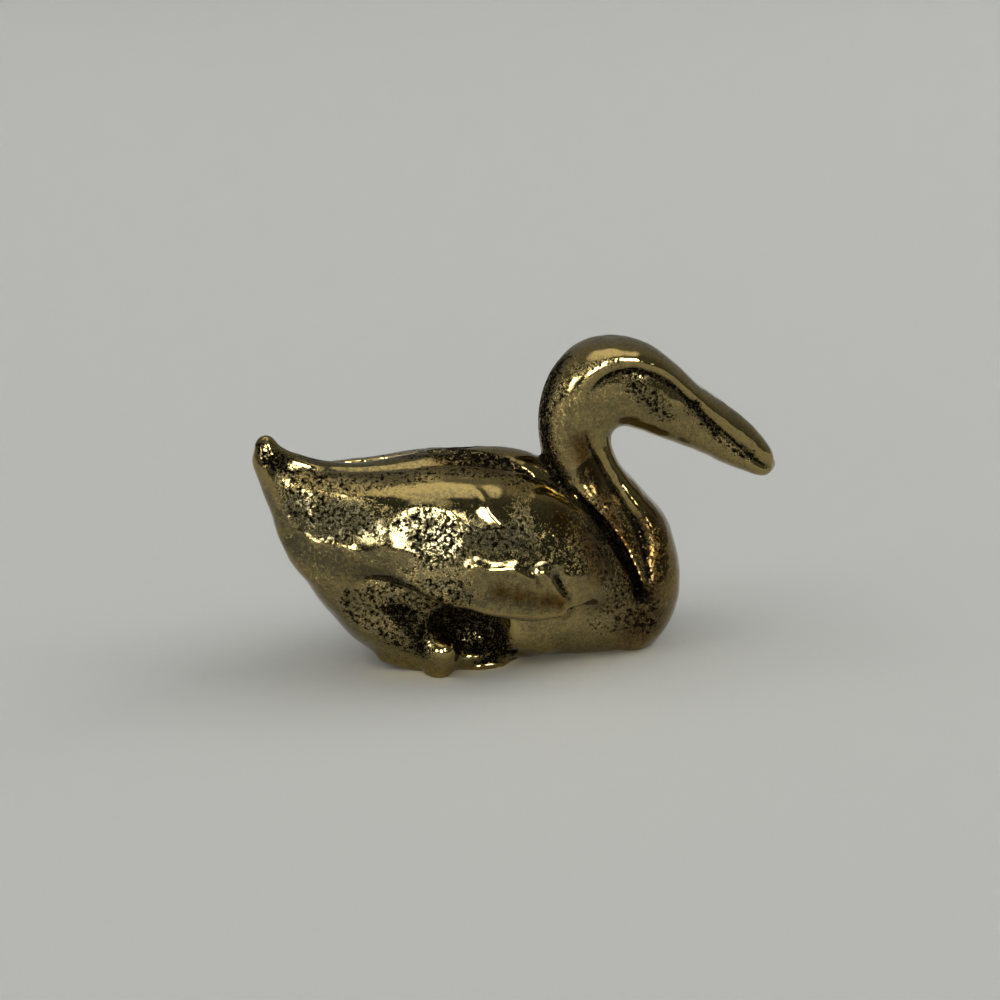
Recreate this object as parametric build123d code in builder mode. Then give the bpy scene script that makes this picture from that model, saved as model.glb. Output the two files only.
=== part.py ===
"""A small cast brass duck that sits on its flat belly: six castings brazed into one ornament.

The frame: +X runs to the bill, +Z up and the duck is symmetric about the plane y = 0.
The origin is at the bottom centre of the duck's bounding box.
Every outline point is a share of a named size, so that the duck keeps its shape when a size changes.
"""
import math
import os
from build123d import *

# Overall sizes of the duck
duck_length = 71.5
duck_height = 42.8
back_height = 28.4
body_half_width = 10.6
wing_half_width = 12.9
neck_half_width = 4.6

# The seat that each wing lies on: a flat flank of the body that opens towards the breast
tail_core_thickness = 2.6
breast_core_thickness = 11.0
braze_gap = 0.08
slit_width = 1.1
slit_depth = 0.5 * slit_width

# Pegs and sockets that locate the castings while they are brazed
neck_tenon_diameter = 5.0
neck_tenon_length = 6.0
wing_peg_diameter = 2.4
wing_peg_length = 1.8
foot_peg_diameter = 2.0
foot_peg_length = 2.4

# Feet: a flat web on the ground and a round ankle above its heel
ankle_radius = 2.5
web_thickness = 1.5
shank_radius = 1.6
web_length = 13.4
web_width = 5.0
hollow_length = 12.6
hollow_height = 10.4

# Round ends of the tail and of the bill
tail_tip_radius = 1.6
bill_tip_radius = 1.35
tail_tip_x = -0.4735 * duck_length
tail_tip_height = 1.093 * back_height
bill_tip_x = 0.5 * duck_length - bill_tip_radius
bill_tip_height = 0.54 * duck_height


def chord_plane(upper, lower):
    """The plane across the duck whose local x runs from one outline point to the other."""
    start = Vector(upper[0], 0, upper[1])
    run = Vector(lower[0], 0, lower[1]) - start
    return Plane(origin=start, x_dir=run, z_dir=run.cross(Vector(0, 1, 0)))


def lofted(stations):
    """A smooth solid through closed sections, each with the same Bezier curves on both sides."""
    with BuildPart() as shape:
        for upper, lower, half_width, side_shares in stations:
            chord = math.dist(upper, lower)
            with BuildSketch(chord_plane(upper, lower)):
                with BuildLine():
                    for curve in side_shares:
                        Bezier(*[(along * chord, out * half_width) for along, out in curve])
                    for curve in reversed(side_shares):
                        Bezier(*[(along * chord, -out * half_width) for along, out in reversed(curve)])
                make_face()
        loft()
    return shape.part


def creased_side(place, depth):
    """A side of two bulges that meet in a crease at a place on the chord; depth 1 leaves it flush."""
    upper = [(0, 0), (0, 0.64), (0.25 * place, 1.02), (0.72 * place, 1.14), (place, depth)]
    rest = 1 - place
    lower = [(place, depth), (place + 0.25 * rest, 1.08), (place + 0.75 * rest, 1.04), (1, 0.66), (1, 0)]
    return [upper, lower]


def placed(outline_shares, height):
    """Outline points from shares of the duck's length and of a height."""
    return [(along * duck_length, up * height) for along, up in outline_shares]


# Side curves of the core and the wings: share along the chord, share of the half width, top to bottom
tail_side_shares = [[(0, 0), (0, 0.7), (0.1, 1.0), (0.34, 1.0), (0.56, 1.0), (0.8, 0.9), (1, 0.7), (1, 0)]]
core_side_shares = [[(0, 0), (0, 0.34), (0.05, 0.56), (0.34, 0.3), (0.56, 0.98), (0.8, 1.4), (1, 0.78), (1, 0)]]
wing_side_shares = [
    [(0, 0), (0, 0.28), (0.02, 0.46), (0.06, 0.6), (0.13, 0.71)],
    [(0.13, 0.71), (0.28, 0.9), (0.55, 0.95), (0.9, 1.24), (1, 0.86), (1, 0)],
]

# Core of the body: back line, belly line and half widths from the tail to inside the breast
core_top_shares = [(-0.465, 1.12), (-0.444, 1.085), (-0.408, 1.03), (-0.352, 0.989), (-0.285, 0.978),
                   (-0.208, 0.992), (-0.132, 1.008), (-0.042, 0.995), (0.044, 0.92), (0.11, 0.74), (0.17, 0.55),
                   (0.215, 0.4)]
core_bottom_shares = [(-0.5, 1.05), (-0.49, 0.93), (-0.465, 0.75), (-0.4325, 0.536), (-0.3795, 0.292),
                      (-0.295, 0.06), (-0.19, -0.035), (-0.07, -0.03), (0.05, -0.04), (0.15, -0.05), (0.21, -0.04),
                      (0.25, 0.04)]
core_width_shares = [0.16, 0.23, 0.33, 0.48, 0.65, 0.81, 0.96, 1.0, 0.97, 0.9, 0.76, 0.5]
core_profiles = [tail_side_shares] * 3 + [core_side_shares] * 9

# Wings as one pillow on both sides: its top, its lower edge and its half widths
wing_top_shares = [(-0.462, 1.04), (-0.43, 1.005), (-0.38, 0.985), (-0.31, 0.972), (-0.24, 0.972),
                   (-0.165, 0.98), (-0.085, 0.962), (-0.02, 0.93), (0.04, 0.88), (0.08, 0.84)]
wing_bottom_shares = [(-0.47, 0.82), (-0.458, 0.62), (-0.42, 0.46), (-0.35, 0.4), (-0.265, 0.36),
                      (-0.17, 0.29), (-0.07, 0.21), (0.04, 0.17), (0.15, 0.16), (0.235, 0.16)]
wing_width_shares = [0.14, 0.25, 0.46, 0.68, 0.86, 0.97, 1.0, 0.97, 0.84, 0.54]

# Breast, neck, head and bill from below: front outline, back outline, half widths, and along the side
# the crease that is the hollow flute of the neck, then the edge of the crown, then the line of the mouth
front_shares = [(0.17, -0.02), (0.255, 0.0), (0.29, 0.098), (0.302, 0.199), (0.296, 0.294), (0.282, 0.378),
                (0.253, 0.453), (0.211, 0.533), (0.181, 0.598), (0.167, 0.654), (0.169, 0.69), (0.186, 0.708),
                (0.217, 0.693), (0.262, 0.659), (0.312, 0.624), (0.368, 0.579), (0.421, 0.535), (0.462, 0.508),
                (0.486, 0.514)]
rear_shares = [(0.125, 0.14), (0.125, 0.187), (0.125, 0.234), (0.125, 0.292), (0.111, 0.374), (0.083, 0.467),
               (0.049, 0.561), (0.036, 0.643), (0.032, 0.724), (0.036, 0.804), (0.058, 0.89), (0.11, 0.97),
               (0.187, 0.985), (0.256, 0.944), (0.32, 0.85), (0.383, 0.766), (0.439, 0.69), (0.479, 0.618),
               (0.492, 0.57)]
neck_width_shares = [1.5, 1.7, 1.8, 1.76, 1.62, 1.44, 1.22, 1.0, 0.88, 0.84, 0.88, 0.96, 1.0, 0.97, 0.88, 0.78,
                     0.7, 0.58, 0.3]
crease_place_shares = [0.5, 0.5, 0.5, 0.5, 0.54, 0.58, 0.6, 0.62, 0.6, 0.52, 0.4, 0.3, 0.26, 0.28, 0.34, 0.45,
                       0.57, 0.62, 0.55]
crease_depth_shares = [1.06, 1.06, 1.04, 1.0, 0.9, 0.82, 0.76, 0.76, 0.84, 1.02, 1.05, 0.95, 0.88, 0.86, 0.84, 0.82,
                       0.8, 0.86, 1.0]

core_mass = lofted([
    (top, bottom, share * body_half_width, profile)
    for top, bottom, share, profile in zip(
        placed(core_top_shares, back_height), placed(core_bottom_shares, back_height), core_width_shares,
        core_profiles,
    )
])
wing_mass = lofted([
    (top, bottom, share * wing_half_width, wing_side_shares)
    for top, bottom, share in zip(
        placed(wing_top_shares, back_height), placed(wing_bottom_shares, back_height), wing_width_shares
    )
])
neck_mass = lofted([
    (rear, front, share * neck_half_width, creased_side(place, depth))
    for rear, front, share, place, depth in zip(
        placed(rear_shares, duck_height), placed(front_shares, duck_height), neck_width_shares,
        crease_place_shares, crease_depth_shares,
    )
])

# Wing seat: a flat flank that leaves the middle plane towards the breast, the same on both sides
seat_start_x = -0.458 * duck_length
seat_end_x = 0.194 * duck_length
seat_start_y = tail_core_thickness / 2
seat_end_y = breast_core_thickness / 2
seat_run = math.hypot(seat_end_x - seat_start_x, seat_end_y - seat_start_y)
seat_cosine = (seat_end_x - seat_start_x) / seat_run
right_seat = Plane(
    origin=(seat_start_x, -seat_start_y, 0),
    x_dir=(seat_end_x - seat_start_x, seat_start_y - seat_end_y, 0),
    z_dir=(seat_start_y - seat_end_y, seat_start_x - seat_end_x, 0),
)


def on_seat(outline_shares):
    """Places on the seat plane for outline points seen from the side."""
    return [((along * duck_length - seat_start_x) / seat_cosine, up * back_height) for along, up in outline_shares]


# Side view of the right wing: its leading edge from the back down, then its lower edge to the tail
leading_edge_shares = [(-0.01, 1.0), (0.045, 0.865), (0.12, 0.69), (0.17, 0.49), (0.196, 0.3)]
lower_edge_shares = [(0.196, 0.3), (0.122, 0.3), (0.06, 0.345), (0.02, 0.315), (-0.08, 0.345), (-0.2, 0.465),
                     (-0.29, 0.53), (-0.36, 0.545), (-0.42, 0.62)]
rear_edge_shares = [(-0.42, 0.62), (-0.443, 0.82), (-0.452, 1.06)]
wing_zone_height = 1.2 * back_height


def wing_zone(clearance):
    """The side of the duck that the right wing takes up, grown by a clearance."""
    leading = [(along + clearance, up) for along, up in on_seat(leading_edge_shares)]
    lower = [(along, up - clearance) for along, up in on_seat(lower_edge_shares)]
    rear = [(along - clearance, up) for along, up in on_seat(rear_edge_shares)]
    front_corner = (leading[-1][0], lower[0][1])
    rear_corner = (rear[0][0], lower[-1][1])
    with BuildPart() as zone:
        with BuildSketch(right_seat.offset(-clearance)):
            with BuildLine():
                Spline(*leading[:-1], front_corner)
                Spline(front_corner, *lower[1:-1], rear_corner)
                Spline(rear_corner, *rear[1:])
                Polyline(rear[-1], (rear[-1][0], wing_zone_height), (leading[0][0], wing_zone_height), leading[0])
            make_face()
        extrude(amount=wing_half_width + clearance)
    return zone.part


def slit(width, depth):
    """The open slit in front of the leading edge of the right wing."""
    edge = on_seat(leading_edge_shares)
    front = [(along + width, up) for along, up in edge]
    with BuildPart() as cut:
        with BuildSketch(right_seat.offset(-depth)):
            with BuildLine():
                Spline(*edge)
                ThreePointArc(edge[-1], (edge[-1][0] + width / 2, edge[-1][1] - width / 2), front[-1])
                Spline(*reversed(front))
                Line(front[0], edge[0])
            make_face()
        extrude(amount=wing_half_width)
    return cut.part


# The thin end of the slit runs over the back to the ridge, in the plane of its own line
slit_apex = (-0.18 * duck_length, 0)
slit_foot = (0.03 * duck_length, -0.061 * duck_length)
slit_top_width = 0.45
slit_top_floor_shares = (0.985, 0.86)


def back_slit():
    """The thin end of the right slit on the back, deeper towards the neck."""
    along = Vector(slit_foot[0] - slit_apex[0], slit_foot[1] - slit_apex[1])
    with BuildPart() as cut:
        with BuildSketch(Plane(origin=slit_apex, x_dir=along, z_dir=along.cross(Vector(0, 0, 1)))):
            with BuildLine():
                Polyline(
                    (0, slit_top_floor_shares[0] * back_height),
                    (along.length, slit_top_floor_shares[1] * back_height),
                    (along.length, wing_zone_height),
                    (0, wing_zone_height),
                    close=True,
                )
            make_face()
        extrude(amount=slit_top_width / 2, both=True)
    return cut.part


# Joint of the neck on the body: a plane from the root of the nape to the notch above the breast
joint_rear = (0.036 * duck_length, 0.619 * duck_height)
joint_front = (0.284 * duck_length, 0.379 * duck_height)
joint_plane = Plane(
    origin=((joint_rear[0] + joint_front[0]) / 2, 0, (joint_rear[1] + joint_front[1]) / 2),
    x_dir=(joint_front[0] - joint_rear[0], 0, joint_front[1] - joint_rear[1]),
    z_dir=(joint_rear[1] - joint_front[1], 0, joint_front[0] - joint_rear[0]),
)

# Places of the wing pegs on the seat, and of the parts of the foot
wing_peg_shares = [(-0.19, 0.72), (0.0, 0.52)]
foot_x = -0.118 * duck_length
foot_y = -0.42 * body_half_width
foot_peg_y = foot_y + 0.25 * web_width
ankle_x = -0.183 * duck_length
ankle_y = -0.68 * body_half_width
ankle_height = 0.13 * back_height
hollow_x = -0.133 * duck_length
hollow_y = -1.01 * body_half_width
hollow_z = 0.235 * back_height
hollow_tilt = 28


def foot_mass(clearance):
    """The right foot grown by a clearance: web, ankle and the peg above the web."""
    with BuildPart() as mass:
        with BuildSketch(Plane.XY):
            with Locations((foot_x, foot_y)):
                Ellipse(web_length / 2 + clearance, web_width / 2 + clearance)
        extrude(amount=web_thickness + clearance)
        with BuildSketch(Plane.XY):
            with Locations((ankle_x, ankle_y)):
                Circle(shank_radius + clearance)
        extrude(amount=ankle_height)
        with Locations((ankle_x, ankle_y, ankle_height)):
            Sphere(ankle_radius + clearance)
        with BuildSketch(Plane.XY.offset(web_thickness)):
            with Locations((foot_x, foot_peg_y)):
                Circle(foot_peg_diameter / 2 + clearance)
        extrude(amount=foot_peg_length + clearance)
        split(bisect_by=Plane.XY, keep=Keep.TOP)
    return mass.part


def hollow():
    """The tilted egg-shaped recess above the right foot, round about its long axis."""
    tilt = math.radians(hollow_tilt)
    along = (math.cos(tilt), 0, -math.sin(tilt))
    with BuildPart() as cut:
        with BuildSketch(Plane(origin=(hollow_x, hollow_y, hollow_z), x_dir=along, z_dir=(0, -1, 0))) as egg:
            Ellipse(hollow_length / 2, hollow_height / 2)
            with Locations((0, hollow_height / 2)):
                Rectangle(hollow_length, hollow_height, mode=Mode.INTERSECT)
        revolve(axis=Axis((hollow_x, hollow_y, hollow_z), along))
    return cut.part


with BuildPart() as head_and_neck:
    add(neck_mass)
    with Locations((bill_tip_x, 0, bill_tip_height)):
        Sphere(bill_tip_radius)
    split(bisect_by=joint_plane, keep=Keep.TOP)
    with BuildSketch(joint_plane):
        Circle(neck_tenon_diameter / 2)
    extrude(amount=-neck_tenon_length)
head_and_neck.part.label = "head_and_neck"

with BuildPart() as right_wing:
    add(wing_mass)
    add(wing_zone(0), mode=Mode.INTERSECT)
    with BuildSketch(right_seat):
        with Locations(*on_seat(wing_peg_shares)):
            Circle(wing_peg_diameter / 2)
    extrude(amount=-wing_peg_length)
right_wing.part.label = "right_wing"

with BuildPart() as right_foot:
    add(foot_mass(0))
right_foot.part.label = "right_foot"

with BuildPart() as peg_sockets:
    with BuildSketch(right_seat):
        with Locations(*on_seat(wing_peg_shares)):
            Circle(wing_peg_diameter / 2 + braze_gap)
    extrude(amount=-wing_peg_length - braze_gap)

with BuildPart() as body:
    add(core_mass)
    add(neck_mass)
    with Locations((tail_tip_x, 0, tail_tip_height)):
        Sphere(tail_tip_radius)
    split(bisect_by=joint_plane, keep=Keep.BOTTOM)
    split(bisect_by=Plane.XY, keep=Keep.TOP)
    right_cuts = (
        wing_zone(braze_gap), slit(slit_width, slit_depth), back_slit(), hollow(), foot_mass(braze_gap),
        peg_sockets.part,
    )
    for cut in right_cuts:
        add(cut, mode=Mode.SUBTRACT)
        mirror(cut, about=Plane.XZ, mode=Mode.SUBTRACT)
    with BuildSketch(joint_plane):
        Circle(neck_tenon_diameter / 2 + braze_gap)
    extrude(amount=-neck_tenon_length - braze_gap, mode=Mode.SUBTRACT)
body.part.label = "body"

with BuildPart() as left_wing:
    mirror(right_wing.part, about=Plane.XZ)
left_wing.part.label = "left_wing"

with BuildPart() as left_foot:
    mirror(right_foot.part, about=Plane.XZ)
left_foot.part.label = "left_foot"

os.makedirs("parts", exist_ok=True)
for piece in (body, head_and_neck, right_wing, left_wing, right_foot, left_foot):
    export_step(piece.part, f"parts/{piece.part.label}.step")
    print(piece.part.label, len(piece.part.solids()), round(piece.part.volume, 1), piece.part.is_valid)
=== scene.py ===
"""A small cast brass duck that rests on its flat belly, worn and polished, with patina and painted shade in
its hollows.

The castings are merged into one skin, sculpted and coloured together, and cut apart again where they
are joined, so that the surface runs on across each joint.
Lengths are millimetres until a piece is finished, and metres after that.
"""

import logging
import math
from dataclasses import dataclass, field
from enum import Enum

import bmesh
import bpy
import numpy as np
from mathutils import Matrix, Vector
from mathutils.bvhtree import BVHTree
from mathutils.kdtree import KDTree


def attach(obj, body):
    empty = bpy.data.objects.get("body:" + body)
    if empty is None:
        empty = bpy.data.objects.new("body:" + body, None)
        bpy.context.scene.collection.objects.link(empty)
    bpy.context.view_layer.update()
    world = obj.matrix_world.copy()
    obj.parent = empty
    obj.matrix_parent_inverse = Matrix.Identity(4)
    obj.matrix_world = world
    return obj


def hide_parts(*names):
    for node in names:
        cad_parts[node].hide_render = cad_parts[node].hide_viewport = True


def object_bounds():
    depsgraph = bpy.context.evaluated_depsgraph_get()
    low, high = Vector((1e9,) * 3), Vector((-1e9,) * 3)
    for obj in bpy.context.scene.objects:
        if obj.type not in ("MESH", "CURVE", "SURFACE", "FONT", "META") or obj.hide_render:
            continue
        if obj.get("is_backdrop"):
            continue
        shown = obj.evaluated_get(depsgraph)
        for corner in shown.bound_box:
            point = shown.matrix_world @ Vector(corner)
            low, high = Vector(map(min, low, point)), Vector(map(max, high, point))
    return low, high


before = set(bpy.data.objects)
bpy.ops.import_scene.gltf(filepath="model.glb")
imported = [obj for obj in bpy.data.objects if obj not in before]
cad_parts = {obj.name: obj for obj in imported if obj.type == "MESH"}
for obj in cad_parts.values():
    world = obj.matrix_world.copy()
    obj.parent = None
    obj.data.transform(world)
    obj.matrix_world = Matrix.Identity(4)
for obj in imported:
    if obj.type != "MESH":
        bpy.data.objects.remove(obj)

LOG = logging.getLogger("duck")
MM = 0.001
DOUBLE_GAP = 0.001
Pixel = tuple[float, float]
Corner = tuple[float, float]
Colour = tuple[float, float, float]
Socket = bpy.types.NodeSocket


class Node(Enum):
    """The castings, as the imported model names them."""

    BODY = "body"
    HEAD = "head_and_neck"
    RIGHT_WING = "right_wing"
    LEFT_WING = "left_wing"
    RIGHT_FOOT = "right_foot"
    LEFT_FOOT = "left_foot"


class Mask(Enum):
    """The colour masks on the skin: patina with painted shade, pits, rubbed bright metal, and brown that in
    one place is a painted reflection.
    """

    PATINA_AND_SHADE = "patina"
    PITS = "pits"
    RUBBED = "rubbed"
    BROWN = "brown"


@dataclass(frozen=True)
class Viewpoint:
    """The camera of the photograph: angles in degrees, lengths in millimetres, image places in pixels."""

    azimuth: float = -14.0
    elevation: float = 20.0
    distance: float = 249.0
    view_angle: float = 30.0
    target: tuple[float, float, float] = (-1.2, 0.0, 20.7)
    target_pixel: Pixel = (514.0, 501.0)
    image_size: float = 1000.0
    sensor: float = 36.0
    nearest_shown: float = 10.0
    farthest_shown: float = 20000.0

    def axes(self) -> tuple[Vector, Vector, Vector]:
        """The camera's own directions.

        Returns:
            Unit vectors to the right, up and back towards the camera.
        """
        turn = math.radians(self.azimuth)
        lift = math.radians(self.elevation)
        back = Vector((math.sin(turn) * math.cos(lift), -math.cos(turn) * math.cos(lift), math.sin(lift)))
        right = Vector((0.0, 0.0, 1.0)).cross(back).normalized()
        return right, back.cross(right), back

    def position(self) -> Vector:
        """Where the camera stands."""
        return Vector(self.target) + self.axes()[2] * self.distance

    def ray(self, pixel: Pixel) -> Vector:
        """The direction that a pixel of the photograph looks in.

        Args:
            pixel: The place in the 1000 by 1000 frame.

        Returns:
            A unit vector.
        """
        right, up, back = self.axes()
        focal = 0.5 * self.image_size / math.tan(math.radians(0.5 * self.view_angle))
        across = (pixel[0] - self.target_pixel[0]) / focal
        rise = (self.target_pixel[1] - pixel[1]) / focal
        return (right * across + up * rise - back).normalized()

    def build(self) -> None:
        """Makes the scene's camera."""
        data = bpy.data.cameras.new("photo_camera")
        data.sensor_width = self.sensor
        data.lens = 0.5 * self.sensor / math.tan(math.radians(0.5 * self.view_angle))
        centre = 0.5 * self.image_size
        data.shift_x = (centre - self.target_pixel[0]) / self.image_size
        data.shift_y = (self.target_pixel[1] - centre) / self.image_size
        data.clip_start = self.nearest_shown * MM
        data.clip_end = self.farthest_shown * MM
        camera = bpy.data.objects.new("photo_camera", data)
        camera.location = self.position() * MM
        camera.rotation_mode = "QUATERNION"
        camera.rotation_quaternion = (-self.axes()[2]).to_track_quat("-Z", "Y")
        bpy.context.scene.collection.objects.link(camera)
        bpy.context.scene.camera = camera


@dataclass(frozen=True)
class Dab:
    """A rounded lump on the surface, or a dent where its height is negative.

    The pixel says where the photograph shows it; length runs along the turn in the picture.
    """

    pixel: Pixel
    height: float
    length: float
    width: float
    turn: float = 0.0


@dataclass(frozen=True)
class Stroke:
    """A ridge through pixels of the photograph, or a groove where its height is negative."""

    pixels: tuple[Pixel, ...]
    height: float
    width: float


@dataclass(frozen=True)
class MaskTrail:
    """A trail through pixels along which one of the colour masks is raised or lowered."""

    mask: Mask
    pixels: tuple[Pixel, ...]
    amount: float
    width: float


@dataclass(frozen=True)
class Easing:
    """A trail through pixels along which the surface is evened out, a number of rounds over."""

    pixels: tuple[Pixel, ...]
    width: float
    rounds: int


@dataclass(frozen=True)
class Relief:
    """Gentle unevenness left by casting and polishing: the size and height of its swells."""

    size: float
    height: float
    seed: int


def casting_copy(node: Node) -> bpy.types.Mesh:
    """A packed casting's mesh in millimetres, with its doubled points merged.

    Args:
        node: Which casting.

    Returns:
        A new mesh.
    """
    part = bmesh.new()
    part.from_mesh(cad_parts[node.value].data)
    bmesh.ops.scale(part, vec=(1 / MM, 1 / MM, 1 / MM), verts=part.verts)
    bmesh.ops.remove_doubles(part, verts=part.verts, dist=DOUBLE_GAP)
    mesh = bpy.data.meshes.new(node.value + "_copy")
    part.to_mesh(mesh)
    part.free()
    return mesh


class Skin:
    """The merged surface of the castings, which the sculptor moves and the finish reads."""

    def __init__(self, voxel: float) -> None:
        """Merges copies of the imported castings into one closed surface.

        Args:
            voxel: The spacing of the new surface's points.
        """
        merged = bmesh.new()
        for node in Node:
            copy = casting_copy(node)
            merged.from_mesh(copy)
            bpy.data.meshes.remove(copy)
        self.mesh = bpy.data.meshes.new("skin")
        merged.to_mesh(self.mesh)
        merged.free()
        self.mesh = remeshed(self.mesh, voxel)
        self.points = np.empty((len(self.mesh.vertices), 3))
        self.normals = np.empty_like(self.points)
        self.edges = np.empty((len(self.mesh.edges), 2), dtype=np.int64)
        flat = np.empty(self.points.size)
        self.mesh.vertices.foreach_get("co", flat)
        self.points[:] = flat.reshape(-1, 3)
        self.corners = [np.array(corner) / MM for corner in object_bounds()]
        ends = np.empty(self.edges.size, dtype=np.int32)
        self.mesh.edges.foreach_get("vertices", ends)
        self.edges[:] = ends.reshape(-1, 2)
        self.degree = np.bincount(self.edges.ravel(), minlength=len(self.points)).astype(float)
        self.refresh()

    def refresh(self) -> None:
        """Writes the points to the mesh and reads the normals that follow."""
        self.mesh.vertices.foreach_set("co", self.points.ravel())
        self.mesh.update()
        flat = np.empty(self.points.size)
        self.mesh.vertex_normals.foreach_get("vector", flat)
        self.normals[:] = flat.reshape(-1, 3)

    def hold(self) -> None:
        """Keeps every point inside the box of the solids."""
        self.points[:] = np.clip(self.points, self.corners[0], self.corners[1])

    def averaged(self, values: np.ndarray) -> np.ndarray:
        """The mean of each point's neighbours.

        Args:
            values: One row for each point of the skin.

        Returns:
            An array of the same shape.
        """
        first, second = self.edges[:, 0], self.edges[:, 1]
        columns = values.reshape(len(values), -1)
        total = np.empty_like(columns)
        for column in range(columns.shape[1]):
            data = columns[:, column]
            total[:, column] = np.bincount(first, weights=data[second], minlength=len(data))
            total[:, column] += np.bincount(second, weights=data[first], minlength=len(data))
        return (total / self.degree[:, None]).reshape(values.shape)

    def smooth(self, rounds: int, shrink: float = 0.6, swell: float = -0.62) -> None:
        """Evens the surface out without drawing it in.

        Args:
            rounds: How many times the pair of moves is made.
            shrink: The share of the way to the neighbours' mean.
            swell: The share of the way back.
        """
        for _ in range(rounds):
            for share in (shrink, swell):
                self.points += share * (self.averaged(self.points) - self.points)
        self.refresh()

    def hollowness(self, rounds: int) -> np.ndarray:
        """How far each point lies inside its smoothed surroundings, above zero in a hollow.

        Args:
            rounds: How often the surroundings are averaged, which sets their size.

        Returns:
            One length for each point.
        """
        around = self.points.copy()
        for _ in range(rounds):
            around = self.averaged(around)
        return np.einsum("ij,ij->i", around - self.points, self.normals)

    def folded(self) -> np.ndarray:
        """The points with the duck's left side mirrored onto its right.

        Returns:
            A copy, one row for each point.
        """
        right = self.points.copy()
        right[:, 1] = -np.abs(right[:, 1])
        return right


def remeshed(mesh: bpy.types.Mesh, voxel: float) -> bpy.types.Mesh:
    """A closed surface of even quads round a mesh.

    Args:
        mesh: The mesh to wrap, which is removed.
        voxel: The size of the quads.

    Returns:
        The new mesh.
    """
    holder = bpy.data.objects.new("remesh_holder", mesh)
    bpy.context.scene.collection.objects.link(holder)
    modifier = holder.modifiers.new("voxels", "REMESH")
    modifier.mode = "VOXEL"
    modifier.voxel_size = voxel
    made = applied(holder)
    bpy.data.meshes.remove(mesh)
    return made


def applied(holder: bpy.types.Object) -> bpy.types.Mesh:
    """The mesh of a holder with its modifiers applied; the holder is removed.

    Args:
        holder: An object in the scene.

    Returns:
        A new mesh.
    """
    graph = bpy.context.evaluated_depsgraph_get()
    made = bpy.data.meshes.new_from_object(holder.evaluated_get(graph))
    bpy.data.objects.remove(holder)
    return made


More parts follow.
